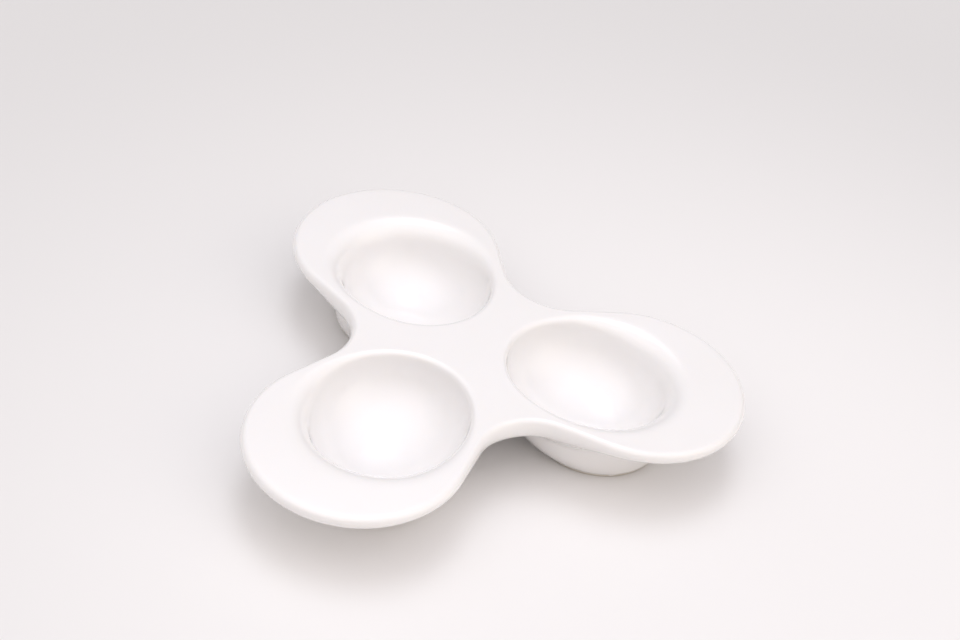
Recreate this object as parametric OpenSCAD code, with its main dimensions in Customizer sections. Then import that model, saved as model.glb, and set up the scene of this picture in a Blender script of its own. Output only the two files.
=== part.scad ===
// Three-bowl tapas dish: a trefoil plate with a bowl hung under each lobe, on three foot rings.
// Millimetres, +Z up. The table is z = 0, and the origin is the middle of the dish's footprint.
// One lobe points along +X, and the other two stand 120 degrees either side of it.

/* [Plate] */
// From the middle of the dish to the centre of a lobe's round end
lobe_offset = 84; // [80:0.5:90]
// Radius of a lobe's round end, at the fullest point of the rim
lobe_radius = 52.4; // [51:0.1:55]
// From the middle of the dish to the rim at the waist between two lobes
waist_radius = 55.4; // [52:0.1:60]
// Length of the straight flank between a lobe's round end and the hollow curve at the waist
flank_length = 23.3; // [18:0.1:28]
// Thickness of the plate and of its rounded rim round the lobes
plate_thickness = 6.4; // [5:0.1:7]
// Thickness of the plate and of its rounded rim at the waist
waist_thickness = 11; // [8:0.1:12]
// How far the rim's rounded edge stands out past the flat of the plate
rim_depth = 3; // [2:0.1:4]
// Height of the middle of the dish above the table
dish_height = 39.4; // [38:0.1:44]
// How much lower a lobe's tip lies than the middle of the dish
crown_drop = 4.6; // [0:0.1:6]

/* [Bowls] */
// From the middle of the dish to the axis of a bowl
bowl_offset = 69; // [67:0.5:72]
// Thickness of a bowl's wall at its top
bowl_wall = 5; // [3:0.1:6]
// Height above the table of the bowl's floor inside
floor_height = 6.5; // [5.5:0.1:9]
// Outside radius of a bowl's flat base
base_radius = 32.4; // [32:0.1:34]
// Height above the table of the seam where the plate's collar meets the bowl
seam_height = 17; // [15:0.1:18]
// From the middle of the dish to the centre of a bowl's oval mouth
mouth_offset = 60.6; // [59:0.2:64]
// Length of the mouth, along the lobe
mouth_length = 81.6; // [78:0.2:88]
// Width of the mouth, across the lobe
mouth_width = 75; // [72:0.2:80]
// Width of the crisp edge of the mouth, on the side of the middle of the dish
crisp_edge = 3; // [2:0.5:6]
// Width of the soft shoulder of the mouth, on the side of the lobe's tip
soft_shoulder = 12; // [6:0.5:14]
// Overhang of the plate past the wall up to which the rim runs down straight into the wall
merged_overhang = 7; // [5:0.5:9]
// Overhang of the plate past the wall from which the rim is free of the wall
free_overhang = 15; // [12:0.5:18]

/* [Feet] */
// Outside radius of a foot ring
foot_radius = 31.4; // [28:0.1:32]
// Width of the band that rests on the table, with its rounded edges
foot_width = 4; // [3:0.1:6]
// Height of a foot ring
foot_height = 2; // [1.5:0.1:3]
// Rounding of a foot ring's lower edges
foot_round = 0.7; // [0.3:0.1:1]

/* [Hidden] */

// The directions of the lobes, counter-clockwise from above
lobes = 3;
lobe_turn = 360 / lobes;
half_turn = lobe_turn / 2;
right_lobe = 0;
back_lobe = lobe_turn;
front_lobe = 2 * lobe_turn;

glaze_colour = [0.96, 0.96, 0.95];
bisque_colour = [0.86, 0.83, 0.78];

// The footprint's middle lies between the tip of the right lobe and the far sides of the other two
tip_reach = lobe_offset + lobe_radius;
far_reach = lobe_offset * cos(half_turn) + lobe_radius;
axis_x = -(tip_reach - far_reach) / 2;

// Steps along the outline of half a lobe: round end, straight flank, waist, and in to the middle
arc_steps = 14;
flank_steps = 2;
waist_steps = 5;
web_steps = 6;
open_steps = arc_steps + flank_steps + waist_steps;
half_steps = open_steps + web_steps;

// Steps round the section of the plate, from the seam inside the bowl to the seam outside it
wall_steps = 3;
edge_steps = 5;
top_steps = 3;
rim_steps = 8;
under_steps = 2;
fillet_steps = 4;
collar_steps = 2;
top_end = wall_steps + edge_steps + top_steps;
rim_middle = top_end + rim_steps / 2;
rim_end = top_end + rim_steps;
fillet_end = rim_end + under_steps + fillet_steps;
last_ring = fillet_end + collar_steps;

// Steps down a bowl's wall, inside from the seam to the floor and outside from the seam to the base
floor_steps = 8;
base_steps = 6;

// Steps round a foot ring's rounded edge, and round the ring
round_steps = 4;
foot_facets = 96;

// How square a bowl is inside and outside: 2 gives a quarter of an ellipse
inner_fullness = 2.2;
outer_fullness = 2;
// Turns round that quarter at which the wall leaves it for the mouth's edge, crisp and soft
crisp_turn = 5;
soft_turn = 25;
// Turns at which the outer wall leaves it for the fillet under the plate, and for the base
fillet_turn = 16;
base_turn = 60;
// The directions, seen from the bowl's axis, between which the mouth's edge turns from soft to crisp
soft_until = 60;
crisp_from = 140;
// An edge or a fillet takes at most this share of the plate beside it
edge_share = 0.85;
fillet_share = 0.75;
// Where the rim runs into the wall, shares of the way that it keeps each of their directions
rim_keep_share = 0.4;
wall_keep_share = 0.6;
// The plate is at its waist's thickness up to the waist, and thins out to this share of a lobe's reach
thin_share = 0.75;

crown_curve = crown_drop / (tip_reach * tip_reach);

function bearing(angle) = [cos(angle), sin(angle)];
function mix(from, to, share) = from + (to - from) * share;
function clamp01(value) = max(0, min(1, value));
function ease(share) = let (s = clamp01(share)) s * s * (3 - 2 * s);

// Height of the plate's upper face over a point, in plan from the middle of the dish
function crown(point) = dish_height - crown_curve * point * point;

// Thickness of the plate at a point, and the height of its lower face there
function thickness(point) =
    mix(waist_thickness, plate_thickness,
        ease((norm(point) - waist_radius) / (thin_share * tip_reach - waist_radius)));
function belly(point) = crown(point) - thickness(point);

// Outline of half a lobe: the tip's arc, a straight flank and the waist's arc, on common tangents.
// The flank's length and the waist's place set the radius of the waist's hollow curve.
lobe_centre = [lobe_offset, 0];
waist_away = norm(waist_radius * bearing(half_turn) - lobe_centre);
waist_curve = (pow(lobe_radius, 2) + pow(flank_length, 2) - pow(waist_away, 2))
    / (2 * (waist_radius - lobe_offset * cos(half_turn) - lobe_radius));
waist_reach = waist_radius + waist_curve;
waist_centre = waist_reach * bearing(half_turn);
flank_line = waist_centre - lobe_centre;
flank_angle = atan2(flank_line.y, flank_line.x) - acos((lobe_radius + waist_curve) / norm(flank_line));

// Direction in which the rim faces at a step of the outline
function rim_angle(step) =
    step <= arc_steps ? flank_angle * step / arc_steps
    : step <= arc_steps + flank_steps ? flank_angle
    : mix(flank_angle, half_turn, (step - arc_steps - flank_steps) / waist_steps);

// A point of the outline, drawn in from the rim's fullest point by an inset
function outline(step, inset) =
    let (out = bearing(rim_angle(step)))
    let (arc_point = lobe_centre + (lobe_radius - inset) * out)
    let (waist_point = waist_centre - (waist_curve + inset) * out)
    step <= arc_steps ? arc_point
    : step >= arc_steps + flank_steps ? waist_point
    : mix(arc_point, waist_point, (step - arc_steps) / flank_steps);

// Where a ray from the bowl's axis ends: under the rim, or on the line that two lobes share
function ray_end(step) =
    step <= open_steps ? outline(step, rim_depth)
    : outline(open_steps, rim_depth) * (half_steps - step) / web_steps;

bowl_centre = [bowl_offset, 0];

// Distance from the bowl's axis to the mouth's oval edge in a direction
function mouth_reach(out) =
    let (length = mouth_length / 2)
    let (width = mouth_width / 2)
    let (shift = bowl_offset - mouth_offset)
    let (a = pow(out.x / length, 2) + pow(out.y / width, 2))
    let (b = out.x * shift / (length * length))
    let (c = pow(shift / length, 2) - 1)
    (sqrt(b * b - a * c) - b) / a;

// How crisp the mouth's edge is in a direction: 0 towards the tip, 1 towards the middle
function crispness(out) = ease((abs(atan2(out.y, out.x)) - soft_until) / (crisp_from - soft_until));

// A quarter round from [1, 0] to [0, 1], and where its tangent at a turn meets the first axis
function quarter(turn, fullness) = [pow(cos(turn), 2 / fullness), pow(sin(turn), 2 / fullness)];
function tangent_foot(turn, fullness) = 1 / pow(cos(turn), 2 - 2 / fullness);
function turn_at(drop, fullness) = asin(pow(drop, fullness / 2));

// A point of the curve that leaves one point for a corner and arrives at another
function bend(from, corner, to, share) =
    from * pow(1 - share, 2) + corner * 2 * share * (1 - share) + to * pow(share, 2);

// A point of the curve that leaves one point for a second and arrives at a fourth from a third
function sweep(from, leave, arrive, to, share) =
    bend(mix(from, leave, share), mix(leave, arrive, share), mix(arrive, to, share), share);

// What shapes the hollow on one ray: [turn of its edge, its reach, its top, its depth]
function hollow(out) =
    let (turn = mix(soft_turn, crisp_turn, crispness(out)))
    let (mouth = mouth_reach(out))
    let (top = crown(bowl_centre + mouth * out))
    [turn, mouth / tangent_foot(turn, inner_fullness), top, top - floor_height];

// A point of the hollow's wall on a ray, as [distance from the bowl's axis, height]
function hollow_point(out, turn) =
    let (shape = hollow(out))
    let (unit = quarter(turn, inner_fullness))
    [shape[1] * unit[0], shape[2] - shape[3] * unit[1]];

// Reach of the hollow on a ray, at a height
function hollow_reach(out, height) =
    let (shape = hollow(out))
    shape[1] * quarter(turn_at((shape[2] - height) / shape[3], inner_fullness), inner_fullness)[0];

// What shapes the outer wall on one ray: [its centre, its reach from there, its top, its depth]
function body(out) =
    let (top = belly(bowl_centre + mouth_reach(out) * out))
    let (reach = hollow_reach(out, top) + bowl_wall)
    let (unit = quarter(base_turn, outer_fullness))
    let (centre = (base_radius - reach * unit[0]) / (1 - unit[0]))
    [centre, reach - centre, top, (top - foot_height) / unit[1]];

// A point of the outer wall on a ray, as [distance from the bowl's axis, height]
function body_point(out, turn) =
    let (shape = body(out))
    let (unit = quarter(turn, outer_fullness))
    [shape[0] + shape[1] * unit[0], shape[2] - shape[3] * unit[1]];

// Where the outer wall's line at the fillet's lower edge would reach its top
function root_reach(out) =
    let (shape = body(out))
    shape[0] + shape[1] * tangent_foot(fillet_turn, outer_fullness);

// The turns at which the seam cuts the hollow and the outer wall on a ray
function seam_turn_in(out) =
    let (shape = hollow(out))
    turn_at((shape[2] - seam_height) / shape[3], inner_fullness);
function seam_turn_out(out) =
    let (shape = body(out))
    turn_at((shape[2] - seam_height) / shape[3], outer_fullness);

// Section of the plate on one ray, as [distance from the bowl's axis, height], without the rim
function section(step) =
    let (end = ray_end(step))
    let (reach = norm(end - bowl_centre))
    let (out = (end - bowl_centre) / reach)
    let (mouth = mouth_reach(out))
    let (edge_turn = hollow(out)[0])
    let (edge = min(mix(soft_shoulder, crisp_edge, crispness(out)), edge_share * (reach - mouth)))
    let (edge_low = hollow_point(out, edge_turn))
    let (edge_top = [mouth, hollow(out)[2]])
    let (edge_end = [mouth + edge, crown(bowl_centre + (mouth + edge) * out)])
    let (root = root_reach(out))
    let (fillet = fillet_share * (reach - root))
    let (fillet_top = [root + fillet, belly(bowl_centre + (root + fillet) * out)])
    let (fillet_low = body_point(out, fillet_turn))
    [
        for (i = [0 : wall_steps]) hollow_point(out, mix(seam_turn_in(out), edge_turn, i / wall_steps)),
        for (i = [1 : edge_steps]) bend(edge_low, edge_top, edge_end, i / edge_steps),
        for (i = [1 : top_steps])
            let (away = mix(mouth + edge, reach, i / top_steps))
            [away, crown(bowl_centre + away * out)],
        for (i = [1 : rim_steps - 1]) [reach, 0],
        for (i = [0 : under_steps])
            let (away = mix(reach, root + fillet, i / under_steps))
            [away, belly(bowl_centre + away * out)],
        for (i = [1 : fillet_steps]) bend(fillet_top, [root, body(out)[2]], fillet_low, i / fillet_steps),
        for (i = [1 : collar_steps]) body_point(out, mix(fillet_turn, seam_turn_out(out), i / collar_steps))
    ];

// A point of the rounded rim, a share of the way round it from the top
function rim_point(step, share) =
    let (end = ray_end(step))
    let (out = bearing(rim_angle(step)))
    let (side = end + rim_depth * sin(180 * share) * out)
    let (half = thickness(end) / 2)
    [side.x, side.y, crown(side) - half + half * cos(180 * share)];

// Direction of a ray from the bowl's axis
function ray_out(step) =
    let (end = ray_end(step))
    (end - bowl_centre) / norm(end - bowl_centre);

// A point on a ray of the lobe that points along +X; the rays below zero mirror those above
function ray_place(ray, place) =
    let (flat = bowl_centre + place[0] * ray_out(abs(ray)))
    [flat.x, sign(ray) * flat.y, place[1]];

// How far the underside is drawn in to run straight from the rim to the wall: fully where the plate
// stands out little past the wall, and not at all round the lobe's tip and at the waist
function drawn_in(step) =
    let (overhang = norm(ray_end(step) - bowl_centre) - root_reach(ray_out(step)))
    let (merged = 1 - ease((overhang - merged_overhang) / (free_overhang - merged_overhang)))
    merged * ease((open_steps - step) / waist_steps);

// All points of one ray of the plate
function ray_points(ray) =
    let (step = abs(ray))
    let (out = ray_out(step))
    let (cut = section(step))
    let (drawn = drawn_in(step))
    let (fullest = rim_point(min(step, open_steps), 1 / 2))
    let (low = ray_place(step, cut[fillet_end]))
    let (leave = [fullest.x, fullest.y, mix(fullest.z, low.z, rim_keep_share)])
    let (arrive = mix(low, ray_place(step, [root_reach(out), body(out)[2]]), wall_keep_share))
    [
        for (ring = [0 : last_ring])
            let (on_rim = ring > top_end && ring < rim_end)
            let (plain = on_rim ? rim_point(min(step, open_steps), (ring - top_end) / rim_steps)
                : ray_place(step, cut[ring]))
            let (under = clamp01((ring - rim_middle) / (fillet_end - rim_middle)))
            let (straight = sweep(fullest, leave, arrive, low, under))
            let (point = under > 0 && under < 1 ? mix(plain, straight, drawn) : plain)
            [point.x, sign(ray) * point.y, point.z]
    ];

function turned(point, angle) = [
    point.x * cos(angle) - point.y * sin(angle),
    point.x * sin(angle) + point.y * cos(angle),
    point.z
];

// Rays run from just past the line to the middle of the dish, round to that line again
first_ray = 1 - half_steps;
ray_count = 2 * half_steps;
ring_count = last_ring + 1;
lobe_points = ray_count * ring_count;

// Index of a point; a point on the line between two lobes belongs to the lobe before it
function own_index(lobe, ray, ring) =
    (lobe % lobes) * lobe_points + (ray - first_ray) * ring_count + ring;
function index(lobe, ray, ring) =
    let (on_line = ring >= top_end && ring <= rim_end)
    ray == -half_steps ? index(lobe, half_steps, ring)
    : on_line && ray == half_steps ? own_index(0, ray, ring)
    : on_line && ray <= -open_steps ? own_index(lobe + lobes - 1, -ray, ring)
    : own_index(lobe, ray, ring);

// Two triangles between neighbouring rays and rings
function patch(lobe, ray, ring) =
    let (a = index(lobe, ray - 1, ring))
    let (b = index(lobe, ray, ring))
    let (c = index(lobe, ray, (ring + 1) % ring_count))
    let (d = index(lobe, ray - 1, (ring + 1) % ring_count))
    [[a, b, c], [a, c, d]];

// The rim has faces only where a ray ends under it; the last two rays meet at the middle
function has_face(ray, ring) =
    ring < top_end || ring >= rim_end || (ray <= open_steps && ray > -open_steps);

function proper(faces) = [
    for (face = faces) if (face[0] != face[1] && face[1] != face[2] && face[2] != face[0]) face
];

plate_points = [
    for (lobe = [0 : lobes - 1])
        for (ray = [first_ray : half_steps])
            for (point = ray_points(ray))
                turned(point, lobe * lobe_turn)
];

plate_faces = [
    for (lobe = [0 : lobes - 1])
        for (ray = [first_ray : half_steps])
            for (ring = [0 : last_ring])
                if (has_face(ray, ring))
                    for (face = proper(patch(lobe, ray, ring)))
                        face
];

module trefoil_plate() {
    color(glaze_colour)
        translate([axis_x, 0, 0])
            polyhedron(plate_points, plate_faces, 2);
}

// Places a piece drawn on the z axis under the bowl of a lobe
module under_lobe(angle) {
    translate([axis_x, 0, 0])
        rotate([0, 0, angle])
            translate([bowl_offset, 0, 0])
                children();
}

// Points of a bowl on one ray: down the hollow, then from the base up the outer wall to the seam
function bowl_ray(ray) =
    let (out = ray_out(abs(ray)))
    [
        for (i = [floor_steps - 1 : -1 : 0])
            ray_place(ray, hollow_point(out, mix(seam_turn_in(out), 90, i / floor_steps))),
        for (i = [0 : base_steps])
            ray_place(ray, body_point(out, mix(seam_turn_out(out), base_turn, i / base_steps)))
    ];

bowl_rings = floor_steps + base_steps + 1;
bowl_points = [
    for (ray = [first_ray : half_steps])
        for (point = bowl_ray(ray))
            point - [bowl_offset, 0, 0],
    [0, 0, floor_height],
    [0, 0, foot_height]
];
floor_point = ray_count * bowl_rings;
base_point = floor_point + 1;

bowl_faces = [
    for (ray = [0 : ray_count - 1])
        let (here = ray * bowl_rings)
        let (next = ((ray + 1) % ray_count) * bowl_rings)
        each [
            for (ring = [0 : bowl_rings - 2])
                each [
                    [here + ring, next + ring, next + ring + 1],
                    [here + ring, next + ring + 1, here + ring + 1]
                ],
            [floor_point, next, here],
            [base_point, here + bowl_rings - 1, next + bowl_rings - 1]
        ]
];

// Lower part of a bowl: the hollow and its wall, from the seam down to a flat base
module bowl(angle) {
    color(glaze_colour)
        under_lobe(angle)
            polyhedron(bowl_points, bowl_faces, 2);
}

// One rounded lower edge of a foot ring's section, from the direction in which it starts
function foot_edge(centre, from) = [
    for (i = [0 : round_steps]) centre + foot_round * bearing(from + 90 * i / round_steps)
];

// Unglazed ring that the dish stands on
module foot_ring(angle) {
    color(bisque_colour)
        under_lobe(angle)
            rotate_extrude($fn = foot_facets)
                translate([foot_radius - foot_width, 0])
                    polygon([
                        [foot_width, foot_height],
                        [0, foot_height],
                        each foot_edge([foot_round, foot_round], 180),
                        each foot_edge([foot_width - foot_round, foot_round], 270)
                    ]);
}

trefoil_plate();
bowl(right_lobe);  // bowl_right
bowl(back_lobe);  // bowl_back
bowl(front_lobe);  // bowl_front
foot_ring(right_lobe);  // foot_ring_right
foot_ring(back_lobe);  // foot_ring_back
foot_ring(front_lobe);  // foot_ring_front
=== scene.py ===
import math

import bpy
from mathutils import Euler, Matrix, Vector


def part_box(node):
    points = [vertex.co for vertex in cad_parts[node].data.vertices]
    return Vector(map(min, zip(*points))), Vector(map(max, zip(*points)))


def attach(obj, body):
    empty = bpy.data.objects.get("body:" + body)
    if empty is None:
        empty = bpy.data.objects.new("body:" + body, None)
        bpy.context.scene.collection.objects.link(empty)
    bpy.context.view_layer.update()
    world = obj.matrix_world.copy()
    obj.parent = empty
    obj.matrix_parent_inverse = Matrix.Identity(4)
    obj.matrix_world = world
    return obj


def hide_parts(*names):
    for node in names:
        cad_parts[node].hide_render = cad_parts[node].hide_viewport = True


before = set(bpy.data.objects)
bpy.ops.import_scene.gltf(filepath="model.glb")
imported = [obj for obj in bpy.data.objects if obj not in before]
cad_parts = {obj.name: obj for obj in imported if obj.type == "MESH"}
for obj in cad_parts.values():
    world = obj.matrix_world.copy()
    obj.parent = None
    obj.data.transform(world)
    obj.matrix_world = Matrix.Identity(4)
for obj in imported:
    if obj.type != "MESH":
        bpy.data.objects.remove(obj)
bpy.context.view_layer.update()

rootBody = "root"
lobeNames = ["right", "back", "front"]
mergeDistance = 0.00002  # points of a mesh that lie closer than this become one
scene = bpy.context.scene


# Values in a node tree, so that a rule can be written as plain sums

nodeGrid = {"across": 200, "down": 170, "rows": 10, "shaderLeft": -900, "worldLeft": -2400}


class treeMaker:
    def __init__(self, tree, left=0):
        self.tree = tree
        self.left = left
        self.section = None
        self.count = 0

    def startSection(self, label):  # a labelled frame that holds the nodes made from here on
        self.section = self.tree.nodes.new("NodeFrame")
        self.section.label = label

    def add(self, kind, **settings):
        node = self.tree.nodes.new(kind)
        for name, value in settings.items():
            setattr(node, name, value)
        column, row = divmod(self.count, nodeGrid["rows"])
        node.location = (self.left + nodeGrid["across"] * column, -nodeGrid["down"] * row)
        node.parent = self.section
        self.count += 1
        return node

    def feed(self, socket, value):
        if isinstance(value, treeValue):
            self.tree.links.new(value.socket, socket)
        elif isinstance(value, bpy.types.NodeSocket):
            self.tree.links.new(value, socket)
        else:
            socket.default_value = value

    def fed(self, kind, inputs, **settings):  # a node with values or links in the inputs named
        node = self.add(kind, **settings)
        for name, value in inputs.items():
            self.feed(node.inputs[name], value)
        return node

    def math(self, operation, *values):
        node = self.fed("ShaderNodeMath", dict(enumerate(values)), operation=operation)
        return treeValue(self, node.outputs[0])

    def compare(self, operation, left, right):
        settings = {"data_type": "FLOAT", "operation": operation}
        node = self.fed("FunctionNodeCompare", {0: left, 1: right}, **settings)
        return treeValue(self, node.outputs[0])

    def both(self, *conditions):
        kept = conditions[0]
        for condition in conditions[1:]:
            node = self.fed("FunctionNodeBooleanMath", {0: kept, 1: condition}, operation="AND")
            kept = treeValue(self, node.outputs[0])
        return kept

    def pick(self, condition, yes, no):
        node = self.fed("GeometryNodeSwitch", {0: condition, 1: no, 2: yes}, input_type="FLOAT")
        return treeValue(self, node.outputs[0])

    def vector(self, *axes):
        return self.fed("ShaderNodeCombineXYZ", dict(enumerate(axes))).outputs[0]

    def parts(self, socket):
        node = self.fed("ShaderNodeSeparateXYZ", {0: socket})
        return [treeValue(self, output) for output in node.outputs]

    def flow(self, kind, geometry, inputs=None, **settings):  # a node that a geometry goes through
        return self.fed(kind, {0: geometry, **(inputs or {})}, **settings).outputs[0]


class treeValue:
    def __init__(self, maker, socket):
        self.maker = maker
        self.socket = socket

    def __add__(self, other):
        return self.maker.math("ADD", self, other)

    def __radd__(self, other):
        return self.maker.math("ADD", other, self)

    def __sub__(self, other):
        return self.maker.math("SUBTRACT", self, other)

    def __rsub__(self, other):
        return self.maker.math("SUBTRACT", other, self)

    def __mul__(self, other):
        return self.maker.math("MULTIPLY", self, other)

    def __rmul__(self, other):
        return self.maker.math("MULTIPLY", other, self)

    def __truediv__(self, other):
        return self.maker.math("DIVIDE", self, other)

    def __rtruediv__(self, other):
        return self.maker.math("DIVIDE", other, self)

    def __pow__(self, other):
        return self.maker.math("POWER", self, other)

    def __le__(self, other):
        return self.maker.compare("LESS_EQUAL", self, other)

    def __gt__(self, other):
        return self.maker.compare("GREATER_THAN", self, other)


def cosOf(angle):
    return angle.maker.math("COSINE", angle)


def sinOf(angle):
    return angle.maker.math("SINE", angle)


def rootOf(value):
    return value.maker.math("SQRT", value)


def sizeOf(value):
    return value.maker.math("ABSOLUTE", value)


def least(value, other):
    return value.maker.math("MINIMUM", value, other)


def most(value, other):
    return value.maker.math("MAXIMUM", value, other)


def angleOf(x, y):
    return x.maker.math("ARCTAN2", y, x)


def radians(degrees):
    return degrees.maker.math("RADIANS", degrees)


def distance(x, y):
    return rootOf(x * x + y * y)


def share(value):  # kept from 0 to 1
    return least(most(value, 0.0), 1.0)


def ease(value):
    kept = share(value)
    return kept * kept * (3.0 - 2.0 * kept)


def mix(start, end, part):
    return start + (end - start) * part


def bend(start, corner, end, part):  # leaves start for the corner and arrives at the end
    rest = 1.0 - part
    points = zip(start, corner, end)
    return [a * rest * rest + b * 2.0 * rest * part + c * part * part for a, b, c in points]


def sweep(start, leave, arrive, end, part):  # as bend, with a direction of its own at each end
    pairs = [(start, leave), (leave, arrive), (arrive, end)]
    return bend(*[[mix(a, b, part) for a, b in zip(*pair)] for pair in pairs], part)


def newTree(name, sizes):
    tree = bpy.data.node_groups.new(name, "GeometryNodeTree")
    tree.interface.new_socket(name="Geometry", in_out="OUTPUT", socket_type="NodeSocketGeometry")
    kinds = {int: "NodeSocketInt", float: "NodeSocketFloat"}
    for label, value in sizes.items():
        kind = kinds.get(type(value), "NodeSocketMaterial")
        tree.interface.new_socket(name=label, in_out="INPUT", socket_type=kind)
    maker = treeMaker(tree)
    source = maker.add("NodeGroupInput")
    return maker, {label: treeValue(maker, source.outputs[label]) for label in sizes}


def endTree(maker, geometry, material):  # instances are made real, since the export drops them
    real = maker.flow("GeometryNodeRealizeInstances", geometry)
    joined = maker.flow("GeometryNodeMergeByDistance", real, {"Distance": mergeDistance})
    smooth = maker.flow("GeometryNodeSetShadeSmooth", joined)
    done = maker.flow("GeometryNodeSetMaterial", smooth, {"Material": material})
    maker.feed(maker.add("NodeGroupOutput").inputs[0], done)


def turnedCopies(maker, geometry, middle, copies):  # evenly turned about a vertical axis
    points = maker.fed("GeometryNodePoints", {"Count": copies, "Position": middle}).outputs[0]
    index = treeValue(maker, maker.add("GeometryNodeInputIndex").outputs[0])
    turn = maker.vector(0.0, 0.0, index * (2.0 * math.pi / copies))
    inputs = {"Instance": geometry, "Rotation": turn}
    return maker.flow("GeometryNodeInstanceOnPoints", points, inputs)


def treeResult(name, maker, sizes):  # the tree's mesh as a plain object at the origin
    source = bpy.data.objects.new(name + "Source", bpy.data.meshes.new(name + "Source"))
    scene.collection.objects.link(source)
    modifier = source.modifiers.new(name, "NODES")
    modifier.node_group = maker.tree
    for item in maker.tree.interface.items_tree:
        if item.in_out == "INPUT":
            modifier[item.identifier] = sizes[item.name]
    evaluated = source.evaluated_get(bpy.context.evaluated_depsgraph_get())
    mesh = bpy.data.meshes.new_from_object(evaluated)
    mesh.name = name
    source.modifiers.remove(modifier)
    bpy.data.objects.remove(source)
    piece = bpy.data.objects.new(name, mesh)
    scene.collection.objects.link(piece)
    return piece


# Parts of materials

noiseMiddle = (0.3, 0.7)  # where most of a noise's values lie


def newMaterial(name):
    material = bpy.data.materials.new(name)
    material.use_nodes = True
    tree = material.node_tree
    return material, treeMaker(tree, nodeGrid["shaderLeft"]), tree.nodes["Principled BSDF"]


def spread(maker, noise, low, high):
    inputs = {"Value": noise, "To Min": low, "To Max": high}
    inputs["From Min"], inputs["From Max"] = noiseMiddle
    return maker.fed("ShaderNodeMapRange", inputs).outputs["Result"]


def blendColour(maker, part, first, second):
    colours = {0: part, 6: first, 7: second}
    return maker.fed("ShaderNodeMix", colours, data_type="RGBA").outputs[2]


def addBump(maker, height, depth, **under):
    inputs = {"Height": height, "Strength": 1.0, "Distance": depth, **under}
    return maker.fed("ShaderNodeBump", inputs).outputs["Normal"]


# Clay and glaze mottle, shared by the glazed and the bare clay

mottleLook = {  # the detail and the roughness of each noise
    "Cloud": (2.0, 0.45),
    "Grain": (3.0, 0.6),
    "Ripple": (1.0, 0.5),
}


def buildMottle():
    group = bpy.data.node_groups.new("kilnMottle", "ShaderNodeTree")
    newSocket = group.interface.new_socket
    for label in mottleLook:
        newSocket(name=label + " size", in_out="INPUT", socket_type="NodeSocketFloat")
    for label in mottleLook:
        newSocket(name=label, in_out="OUTPUT", socket_type="NodeSocketFloat")
    maker = treeMaker(group)
    source, result = maker.add("NodeGroupInput"), maker.add("NodeGroupOutput")
    place = maker.add("ShaderNodeTexCoord").outputs["Object"]
    for label, (detail, roughness) in mottleLook.items():
        scale = maker.math("DIVIDE", 1.0, source.outputs[label + " size"])
        look = {"Vector": place, "Scale": scale, "Detail": detail, "Roughness": roughness}
        maker.feed(result.inputs[label], maker.fed("ShaderNodeTexNoise", look).outputs["Fac"])
    return group


def addMottle(maker, mottle, sizes):
    inputs = {label + " size": size for label, size in sizes.items()}
    return maker.fed("ShaderNodeGroup", inputs, node_tree=mottle).outputs


# Glazed porcelain

glazeLook = {
    "white": (0.87, 0.86, 0.86, 1.0),
    "shade": (0.855, 0.845, 0.84, 1.0),
    "mottle": {"Cloud": 0.05, "Grain": 0.0011, "Ripple": 0.011},
    "gloss": (0.10, 0.16),
    "rippleDepth": 0.00006,
    "grainDepth": 0.000003,
    "surface": {
        "IOR": 1.5,
        "Coat Weight": 0.6,
        "Coat Roughness": 0.04,
        "Coat IOR": 1.5,
        "Subsurface Weight": 0.12,
        "Subsurface Radius": (1.0, 0.85, 0.7),
        "Subsurface Scale": 0.002,
    },
}


def glazedPorcelain(mottle):
    material, maker, shader = newMaterial("glazedPorcelain")
    look = glazeLook
    masks = addMottle(maker, mottle, look["mottle"])
    cloud = spread(maker, masks["Cloud"], 0.0, 1.0)
    ripple = addBump(maker, masks["Ripple"], look["rippleDepth"])
    grain = addBump(maker, masks["Grain"], look["grainDepth"], Normal=ripple)
    gloss = spread(maker, masks["Cloud"], *look["gloss"])
    maker.feed(shader.inputs["Base Color"], blendColour(maker, cloud, look["white"], look["shade"]))
    maker.feed(shader.inputs["Roughness"], gloss)
    maker.feed(shader.inputs["Normal"], grain)
    for name, value in look["surface"].items():
        shader.inputs[name].default_value = value
    return material


# Bare clay of the foot rings, glazed down to a wavy line

bisqueLook = {
    "clay": (0.64, 0.60, 0.54, 1.0),
    "clayShade": (0.52, 0.48, 0.42, 1.0),
    "clayRoughness": 0.85,
    "glaze": (0.86, 0.845, 0.83, 1.0),
    "glazeRoughness": 0.2,
    "glazeLine": 0.0013,
    "glazeWave": 0.0005,
    "glazeBlur": 0.0001,
    "mottle": {"Cloud": 0.012, "Grain": 0.0005, "Ripple": 0.006},
    "grainDepth": 0.00003,
}


def bareClay(mottle):
    material, maker, shader = newMaterial("bareClay")
    look = bisqueLook
    masks = addMottle(maker, mottle, look["mottle"])
    _, _, height = maker.parts(maker.add("ShaderNodeTexCoord").outputs["Object"])
    wave = spread(maker, masks["Ripple"], -look["glazeWave"], look["glazeWave"])
    line, blur = look["glazeLine"], look["glazeBlur"]
    ends = {"Value": height + wave, "From Min": line - blur, "From Max": line + blur}
    glazed = maker.fed("ShaderNodeMapRange", ends).outputs["Result"]
    cloud = spread(maker, masks["Cloud"], 0.0, 1.0)
    clay = blendColour(maker, cloud, look["clay"], look["clayShade"])
    ends = {"Value": glazed, "To Min": look["clayRoughness"], "To Max": look["glazeRoughness"]}
    roughness = maker.fed("ShaderNodeMapRange", ends).outputs["Result"]
    maker.feed(shader.inputs["Base Color"], blendColour(maker, glazed, clay, look["glaze"]))
    maker.feed(shader.inputs["Roughness"], roughness)
    maker.feed(shader.inputs["Normal"], addBump(maker, masks["Grain"], look["grainDepth"]))
    return material


# Sizes that the frame gives: the middle of the dish, the bowls' axes, the height and the reach

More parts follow.
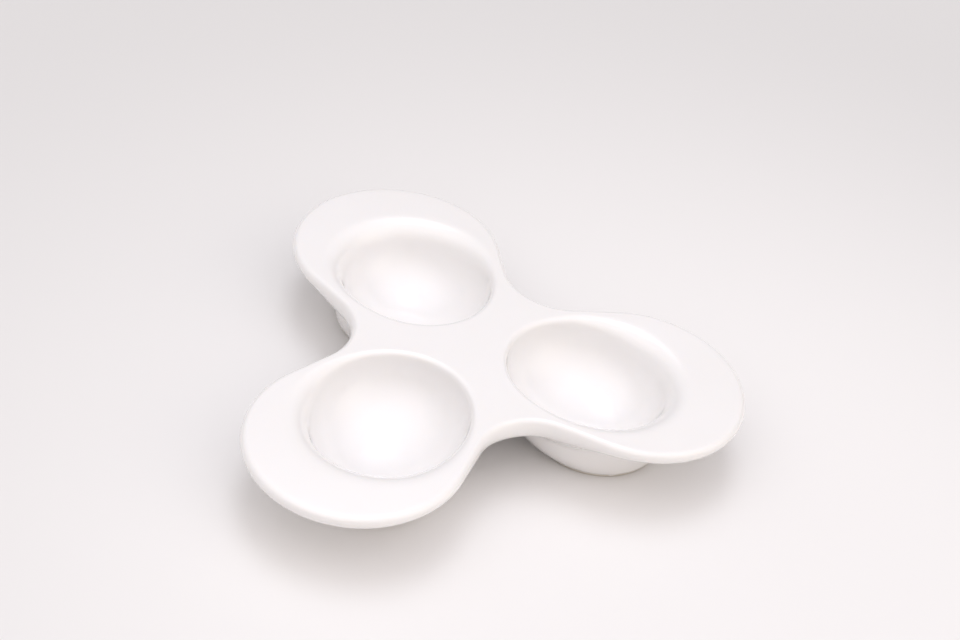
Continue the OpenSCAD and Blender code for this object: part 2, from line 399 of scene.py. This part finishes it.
ringBoxes = [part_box("foot_ring_" + name) for name in lobeNames]
ringMiddles = [(low + high) / 2 for low, high in ringBoxes]
dishMiddle = sum(ringMiddles, Vector()) / len(ringMiddles)
footHeight = ringBoxes[0][1].z
footRadius = (ringBoxes[0][1].x - ringBoxes[0][0].x) / 2
_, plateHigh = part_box("trefoil_plate")
bowlOffset = (ringMiddles[0] - dishMiddle).length


# The dish: the trefoil plate and its three bowls, one skin

dishSizes = {  # metres, degrees, shares, and counts of steps along a ray or ring
    "lobes": 3,
    "middle": dishMiddle.x,
    "tipReach": plateHigh.x - dishMiddle.x,
    "lobeRadius": 0.0524,
    "waistRadius": 0.0554,
    "flankLength": 0.0233,
    "plateThickness": 0.0064,
    "waistThickness": 0.011,
    "thinShare": 0.75,  # of the tip's reach: from here out the plate is at its thinnest
    "rimDepth": 0.003,
    "dishHeight": plateHigh.z,
    "crownDrop": 0.0046,
    "bowlOffset": bowlOffset,
    "bowlWall": 0.0042,  # at the plate's lower face
    "floorHeight": 0.0065,
    "baseRadius": 0.0324,
    "footHeight": footHeight,
    "mouthOffset": 0.0606,
    "mouthLength": 0.0816,
    "mouthWidth": 0.075,
    "crispEdge": 0.003,
    "softShoulder": 0.009,
    "edgeShare": 0.85,  # of the room between mouth and rim, at most
    "filletShare": 0.75,  # of the overhang
    "innerFullness": 2.1,  # 2 is an ellipse, more is squarer
    "outerFullness": 2.0,
    "crispTurn": 5.0,
    "softTurn": 18.0,
    "filletTurn": 16.0,
    "baseTurn": 60.0,
    "baseRound": 0.0012,
    "baseRoundTurn": 3.0,
    "softUntil": 60.0,  # from the lobe's own direction
    "crispFrom": 140.0,
    "mergedOverhang": 0.007,  # up to here the underside is drawn in fully
    "freeOverhang": 0.015,  # and from here not at all
    "rimKeepShare": 0.4,
    "wallKeepShare": 0.6,
    "arcSteps": 42,
    "flankSteps": 9,
    "waistSteps": 12,
    "webSteps": 18,
    "hollowSteps": 26,
    "edgeSteps": 12,
    "topSteps": 8,
    "rimSteps": 16,
    "underSteps": 6,
    "filletSteps": 12,
    "wallSteps": 12,
    "roundSteps": 3,
    "baseSteps": 6,
}


def dishTree(material):
    maker, size = newTree("trefoilDish", {**dishSizes, "material": material})

    maker.startSection("Steps: rays round a bowl's axis, rings from floor to base")
    openSteps = size["arcSteps"] + size["flankSteps"] + size["waistSteps"]
    halfSteps = openSteps + size["webSteps"]
    hollowEnd = size["hollowSteps"] + 0.0
    edgeEnd = hollowEnd + size["edgeSteps"]
    topEnd = edgeEnd + size["topSteps"]
    rimEnd = topEnd + size["rimSteps"]
    underEnd = rimEnd + size["underSteps"]
    filletEnd = underEnd + size["filletSteps"]
    wallEnd = filletEnd + size["wallSteps"]
    roundEnd = wallEnd + size["roundSteps"]
    ringSteps = roundEnd + size["baseSteps"]
    grid = maker.fed("GeometryNodeMeshGrid", {
        "Size X": halfSteps * 2.0,
        "Size Y": ringSteps,
        "Vertices X": halfSteps * 2.0 + 1.0,
        "Vertices Y": ringSteps + 1.0,
    }).outputs[0]
    ray, gridSide, _ = maker.parts(maker.add("GeometryNodeInputPosition").outputs[0])
    ring = gridSide + ringSteps / 2.0
    step = sizeOf(ray)
    side = maker.math("SIGN", ray)

    def stage(start, steps):  # share of the way through a stage of rings
        return share((ring - start) / steps)

    maker.startSection("The plate's upper and lower faces over a point")
    lobeOffset = size["tipReach"] - size["lobeRadius"]
    crownCurve = size["crownDrop"] / (size["tipReach"] * size["tipReach"])

    def crown(x, y):
        return size["dishHeight"] - crownCurve * (x * x + y * y)

    def thickness(x, y):
        past = distance(x, y) - size["waistRadius"]
        span = size["thinShare"] * size["tipReach"] - size["waistRadius"]
        return mix(size["waistThickness"], size["plateThickness"], ease(past / span))

    def belly(x, y):
        return crown(x, y) - thickness(x, y)

    maker.startSection("Outline: tip's arc, flank and waist's arc on common tangents")
    halfTurn = math.pi / size["lobes"]
    waistX, waistY = size["waistRadius"] * cosOf(halfTurn), size["waistRadius"] * sinOf(halfTurn)
    waistDistance = distance(waistX - lobeOffset, waistY)
    arcGap = size["lobeRadius"] ** 2.0 + size["flankLength"] ** 2.0 - waistDistance ** 2.0
    reachGap = size["waistRadius"] - lobeOffset * cosOf(halfTurn) - size["lobeRadius"]
    waistCurve = arcGap / (2.0 * reachGap)
    waistReach = size["waistRadius"] + waistCurve
    waistX, waistY = waistReach * cosOf(halfTurn), waistReach * sinOf(halfTurn)
    lineX = waistX - lobeOffset
    lineCos = (size["lobeRadius"] + waistCurve) / distance(lineX, waistY)
    flankAngle = angleOf(lineX, waistY) - maker.math("ARCCOSINE", lineCos)
    openStep = least(step, openSteps)
    flankEnd = size["arcSteps"] + size["flankSteps"]
    onArc = flankAngle * share(openStep / size["arcSteps"])
    onWaist = mix(flankAngle, halfTurn, share((openStep - flankEnd) / size["waistSteps"]))
    rimAngle = maker.pick(openStep <= flankEnd, onArc, onWaist)
    rimX, rimY = cosOf(rimAngle), sinOf(rimAngle)
    arcRadius = size["lobeRadius"] - size["rimDepth"]
    curveRadius = waistCurve + size["rimDepth"]
    flankPart = share((openStep - size["arcSteps"]) / size["flankSteps"])
    outlineX = mix(lobeOffset + arcRadius * rimX, waistX - curveRadius * rimX, flankPart)
    outlineY = mix(arcRadius * rimY, waistY - curveRadius * rimY, flankPart)

    maker.startSection("Where the ray ends: under the rim, or where two lobes meet")
    webPart = share((halfSteps - step) / size["webSteps"])
    endX, endY = outlineX * webPart, outlineY * webPart
    rayX = endX - size["bowlOffset"]
    reach = distance(rayX, endY)
    outX, outY = rayX / reach, endY / reach

    def crownAt(away):
        return crown(size["bowlOffset"] + away * outX, away * outY)

    def bellyAt(away):
        return belly(size["bowlOffset"] + away * outX, away * outY)

    maker.startSection("The mouth's oval, and how crisp its edge is")
    halfLength, halfWidth = size["mouthLength"] / 2.0, size["mouthWidth"] / 2.0
    shift = size["bowlOffset"] - size["mouthOffset"]
    ovalA = (outX / halfLength) ** 2.0 + (outY / halfWidth) ** 2.0
    ovalB = outX * shift / (halfLength * halfLength)
    ovalC = (shift / halfLength) ** 2.0 - 1.0
    mouth = (rootOf(ovalB * ovalB - ovalA * ovalC) - ovalB) / ovalA
    direction = maker.math("DEGREES", sizeOf(angleOf(outX, outY)))
    crispness = ease((direction - size["softUntil"]) / (size["crispFrom"] - size["softUntil"]))

    maker.startSection("Quarter rounds that shape the walls")
    quarterTurn = math.pi / 2

    def quarter(turn, fullness):
        power = 2.0 / fullness
        return most(cosOf(turn), 0.0) ** power, most(sinOf(turn), 0.0) ** power

    def tangentFoot(turn, fullness):
        return 1.0 / cosOf(turn) ** (2.0 - 2.0 / fullness)

    def turnAt(drop, fullness):
        return maker.math("ARCSINE", share(drop) ** (fullness / 2.0))

    maker.startSection("The hollow's wall")
    inner, outer = size["innerFullness"], size["outerFullness"]
    edgeTurn = radians(mix(size["softTurn"], size["crispTurn"], crispness))
    mouthTop = crownAt(mouth)
    hollowDepth = mouthTop - size["floorHeight"]
    hollowSpan = mouth / tangentFoot(edgeTurn, inner)

    def hollowPoint(turn):
        across, down = quarter(turn, inner)
        return hollowSpan * across, mouthTop - hollowDepth * down

    maker.startSection("The outer wall")
    wallTop = bellyAt(mouth)
    hollowThere, _ = quarter(turnAt((mouthTop - wallTop) / hollowDepth, inner), inner)
    wallReach = hollowSpan * hollowThere + size["bowlWall"]
    baseAcross, baseDown = quarter(radians(size["baseTurn"]), outer)
    wallCentre = (size["baseRadius"] - wallReach * baseAcross) / (1.0 - baseAcross)
    wallSpan = wallReach - wallCentre
    wallDepth = (wallTop - size["footHeight"]) / baseDown

    def wallPoint(turn):
        across, down = quarter(turn, outer)
        return wallCentre + wallSpan * across, wallTop - wallDepth * down

    maker.startSection("Rings of the hollow, the mouth's edge and the upper face")
    roomBeside = size["edgeShare"] * (reach - mouth)
    edge = least(mix(size["softShoulder"], size["crispEdge"], crispness), roomBeside)
    hollowRing = hollowPoint(mix(quarterTurn, edgeTurn, stage(0.0, size["hollowSteps"])))
    edgeRing = bend(hollowPoint(edgeTurn), (mouth, mouthTop), (mouth + edge, crownAt(mouth + edge)),
                    stage(hollowEnd, size["edgeSteps"]))
    topAway = mix(mouth + edge, reach, stage(edgeEnd, size["topSteps"]))
    topRing = topAway, crownAt(topAway)

    maker.startSection("Rings of the lower face, the fillet, the wall and the base")
    filletTurn = radians(size["filletTurn"])
    root = wallCentre + wallSpan * tangentFoot(filletTurn, outer)
    filletAway = root + size["filletShare"] * (reach - root)
    underAway = mix(reach, filletAway, stage(rimEnd, size["underSteps"]))
    underRing = underAway, bellyAt(underAway)
    filletRing = bend((filletAway, bellyAt(filletAway)), (root, wallTop), wallPoint(filletTurn),
                      stage(underEnd, size["filletSteps"]))
    lastTurn = radians(size["baseTurn"] - size["baseRoundTurn"])
    wallRing = wallPoint(mix(filletTurn, lastTurn, stage(filletEnd, size["wallSteps"])))
    roundAway = size["baseRadius"] - size["baseRound"]
    baseCorner = size["baseRadius"], size["footHeight"]
    baseEdge = roundAway, size["footHeight"]
    roundRing = bend(wallPoint(lastTurn), baseCorner, baseEdge, stage(wallEnd, size["roundSteps"]))
    baseRing = roundAway * (1.0 - stage(roundEnd, size["baseSteps"])), size["footHeight"] + 0.0

    maker.startSection("The stage of rings that each point is in")
    away, height = baseRing
    stages = [
        (roundEnd, roundRing),
        (wallEnd, wallRing),
        (filletEnd, filletRing),
        (underEnd, underRing),
        (topEnd, topRing),
        (edgeEnd, edgeRing),
        (hollowEnd, hollowRing),
    ]
    for end, (stageAway, stageHeight) in stages:
        inside = ring <= end
        away = maker.pick(inside, stageAway, away)
        height = maker.pick(inside, stageHeight, height)
    placeX, placeY = size["bowlOffset"] + away * outX, away * outY

    maker.startSection("The rounded rim")
    rimTurn = math.pi * stage(topEnd, size["rimSteps"])
    swell = size["rimDepth"] * sinOf(rimTurn)
    sideX, sideY = endX + swell * rimX, endY + swell * rimY
    halfRim = thickness(endX, endY) / 2.0
    rimHeight = crown(sideX, sideY) - halfRim + halfRim * cosOf(rimTurn)
    onRim = maker.both(ring > topEnd, rimEnd - 0.5 > ring)  # half a step keeps the last ring out
    placeX = maker.pick(onRim, sideX, placeX)
    placeY = maker.pick(onRim, sideY, placeY)
    height = maker.pick(onRim, rimHeight, height)

    maker.startSection("The underside, drawn in where the plate stands out little")
    rimMiddle = topEnd + size["rimSteps"] / 2.0
    past = (reach - root - size["mergedOverhang"]) / (size["freeOverhang"] - size["mergedOverhang"])
    drawn = (1.0 - ease(past)) * ease((openSteps - step) / size["waistSteps"])
    fullX, fullY = endX + size["rimDepth"] * rimX, endY + size["rimDepth"] * rimY
    fullest = fullX, fullY, crown(fullX, fullY) - halfRim
    lowAway, lowHeight = wallPoint(filletTurn)
    low = size["bowlOffset"] + lowAway * outX, lowAway * outY, lowHeight
    leave = fullX, fullY, mix(fullest[2], lowHeight, size["rimKeepShare"])
    corner = size["bowlOffset"] + root * outX, root * outY, wallTop
    arrive = [mix(a, b, size["wallKeepShare"]) for a, b in zip(low, corner)]
    along = share((ring - rimMiddle) / (filletEnd - rimMiddle))
    straight = sweep(fullest, leave, arrive, low, along)
    drawn = maker.pick(maker.both(ring > rimMiddle, filletEnd > ring), drawn, 0.0)
    place = placeX, placeY, height
    placeX, placeY, height = [mix(a, b, drawn) for a, b in zip(place, straight)]

    maker.startSection("One lobe, open where it joins the next, and its copies")
    inWeb = maker.both(step > openSteps, ring > topEnd, rimEnd > ring)
    opened = maker.flow("GeometryNodeDeleteGeometry", grid, {"Selection": inWeb}, domain="FACE")
    spot = maker.vector(placeX, placeY * side, height)
    lobe = maker.flow("GeometryNodeSetPosition", opened, {"Position": spot})
    flipped = maker.flow("GeometryNodeFlipFaces", lobe)
    middle = maker.vector(size["middle"], 0.0, 0.0)
    endTree(maker, turnedCopies(maker, flipped, middle, size["lobes"]), size["material"])
    return maker


def makeDish(material):
    piece = treeResult("trefoilDish", dishTree(material), {**dishSizes, "material": material})
    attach(piece, rootBody)
    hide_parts("trefoil_plate", "bowl_right", "bowl_back", "bowl_front")
    print("dish:", len(piece.data.polygons), "faces")
    return piece


# The foot rings, one profile swept round each bowl's axis

ringSizes = {
    "lobes": 3,
    "middle": dishMiddle.x,
    "bowlOffset": bowlOffset,
    "footRadius": footRadius,
    "footWidth": 0.004,
    "footHeight": footHeight,
    "footRound": 0.0007,
    "roundPoints": 5,
    "ringPoints": 128,
}


def ringTree(material):
    maker, size = newTree("footRings", {**ringSizes, "material": material})
    middleRadius = size["footRadius"] - size["footWidth"] / 2.0
    circle = {"Resolution": size["ringPoints"], "Radius": middleRadius}
    path = maker.fed("GeometryNodeCurvePrimitiveCircle", circle, mode="RADIUS")
    sides = {"Width": size["footWidth"], "Height": size["footHeight"]}
    profile = maker.fed("GeometryNodeCurvePrimitiveQuadrilateral", sides, mode="RECTANGLE")
    corners = {"Radius": size["footRound"], "Count": size["roundPoints"]}
    rounded = maker.flow("GeometryNodeFilletCurve", profile.outputs[0], corners, mode="POLY")
    swept = maker.flow("GeometryNodeCurveToMesh", path.outputs[0], {"Profile Curve": rounded})
    offset = maker.vector(size["bowlOffset"], 0.0, size["footHeight"] / 2.0)
    moved = maker.flow("GeometryNodeSetPosition", swept, {"Offset": offset})
    middle = maker.vector(size["middle"], 0.0, 0.0)
    endTree(maker, turnedCopies(maker, moved, middle, size["lobes"]), size["material"])
    return maker


def makeFootRings(material):
    piece = treeResult("footRings", ringTree(material), {**ringSizes, "material": material})
    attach(piece, rootBody)
    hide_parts("foot_ring_right", "foot_ring_back", "foot_ring_front")
    print("foot rings:", len(piece.data.polygons), "faces")
    return piece


# Floor, light and camera

floorLook = {  # painted pool of light: the near colour fades to the darker far one over the reach, metres from the middle, as a painted falloff of light on the floor
    "half": 8.0,
    "drop": 0.0001,
    "near": (0.82, 0.81, 0.805, 1.0),
    "far": (0.66, 0.655, 0.65, 1.0),
    "middle": (0.09, -0.1, 0.0),
    "reach": (0.13, 0.55),
    "roughness": 0.55,
}


def makeFloor():
    half, drop = floorLook["half"], floorLook["drop"]
    mesh = bpy.data.meshes.new("paleFloor")
    corners = [(x * half, y * half, -drop) for x, y in ((-1, -1), (1, -1), (1, 1), (-1, 1))]
    mesh.from_pydata(corners, [], [(0, 1, 2, 3)])
    floor = bpy.data.objects.new("paleFloor", mesh)
    scene.collection.objects.link(floor)
    material, maker, shader = newMaterial("paleFloor")
    place = maker.add("ShaderNodeTexCoord").outputs["Object"]
    ends = {0: place, 1: floorLook["middle"]}
    away = maker.fed("ShaderNodeVectorMath", ends, operation="DISTANCE")
    reach = {"Value": away.outputs["Value"]}
    reach["From Min"], reach["From Max"] = floorLook["reach"]
    # painted shade: the floor darkens with distance from the middle, standing in for light falling
    # off
    paintedFalloff = maker.fed("ShaderNodeMapRange", reach, interpolation_type="SMOOTHSTEP")
    colour = blendColour(maker, paintedFalloff.outputs["Result"], floorLook["near"], floorLook["far"])
    maker.feed(shader.inputs["Base Color"], colour)
    shader.inputs["Roughness"].default_value = floorLook["roughness"]
    floor.data.materials.append(material)


# The room: even warm light all round, and soft-edged bright fields that stand about the dish

roomLight = {
    "even": (0.105, 0.095, 0.085),
    "fields": [  # degrees: azimuth from +X and elevation, then the half width and half height
        {"from": (97, 75), "half": (13, 18), "edge": 0.4, "colour": (2.4, 2.47, 2.6)},
        {"from": (97, 59), "half": (18, 14), "edge": 1.0, "colour": (0.65, 0.65, 0.69)},
        {"from": (90, 90), "half": (80, 80), "edge": 1.0, "colour": (0.48, 0.5, 0.59)},
        {"from": (0, 30), "half": (80, 80), "edge": 1.0, "colour": (0.14, 0.14, 0.145)},
        {"from": (345, 8), "half": (50, 50), "edge": 1.0, "colour": (1.05, 0.96, 0.86)},
        {"from": (178, 30), "half": (80, 80), "edge": 1.0, "colour": (0.51, 0.495, 0.485)},
        {"from": (280, 60), "half": (80, 80), "edge": 1.0, "colour": (0.98, 0.9, 0.85)},
        {"from": (90, 12), "half": (80, 80), "edge": 1.0, "colour": (0.19, 0.18, 0.18)},
    ],
}


def fieldLight(maker, direction, field):  # what one field sends from a direction
    azimuth, elevation = [math.radians(angle) for angle in field["from"]]
    halfWidth, halfHeight = [math.sin(math.radians(angle)) for angle in field["half"]]
    facing = Euler((0, -elevation, azimuth)).to_matrix()
    along = []
    for axis in facing.col:
        node = maker.fed("ShaderNodeVectorMath", {0: direction, 1: axis}, operation="DOT_PRODUCT")
        along.append(treeValue(maker, node.outputs["Value"]))
    ahead, across, up = along
    inside = 1.0 - (across / halfWidth) ** 2.0 - (up / halfHeight) ** 2.0
    edge = {"Value": inside, "From Max": field["edge"]}
    soft = maker.fed("ShaderNodeMapRange", edge, interpolation_type="SMOOTHSTEP").outputs["Result"]
    seen = maker.math("GREATER_THAN", ahead, 0.0) * soft
    light = {0: field["colour"], "Scale": seen}
    return maker.fed("ShaderNodeVectorMath", light, operation="SCALE").outputs[0]


def makeLights():
    world = bpy.data.worlds.new("softRoom")
    world.use_nodes = True
    maker = treeMaker(world.node_tree, nodeGrid["worldLeft"])
    direction = maker.add("ShaderNodeTexCoord").outputs["Generated"]
    light = roomLight["even"]
    for field in roomLight["fields"]:
        both = {0: light, 1: fieldLight(maker, direction, field)}
        light = maker.fed("ShaderNodeVectorMath", both, operation="ADD").outputs[0]
    maker.feed(world.node_tree.nodes["Background"].inputs["Color"], light)
    scene.world = world


cameraPlace = {
    "spot": (-0.0266, -0.8245, 0.717),
    "elevation": 38.672,
    "azimuth": 0.684,
    "roll": 10.062,
    "lens": 84.13,
    "sensor": 36.0,
}


def makeCamera():
    data = bpy.data.cameras.new("pictureCamera")
    data.lens = cameraPlace["lens"]
    data.sensor_width = cameraPlace["sensor"]
    camera = bpy.data.objects.new("pictureCamera", data)
    upright = Euler((math.radians(90 - cameraPlace["elevation"]), 0, 0)).to_matrix()
    turn = Euler((0, 0, -math.radians(cameraPlace["azimuth"]))).to_matrix()
    roll = Euler((0, 0, math.radians(cameraPlace["roll"]))).to_matrix()
    camera.matrix_world = (turn @ upright @ roll).to_4x4()
    camera.location = cameraPlace["spot"]
    scene.collection.objects.link(camera)
    scene.camera = camera


mottle = buildMottle()
makeDish(glazedPorcelain(mottle))
makeFootRings(bareClay(mottle))
makeFloor()
makeLights()
makeCamera()
scene.view_settings.view_transform = "Standard"
print("floor, light and camera: done")
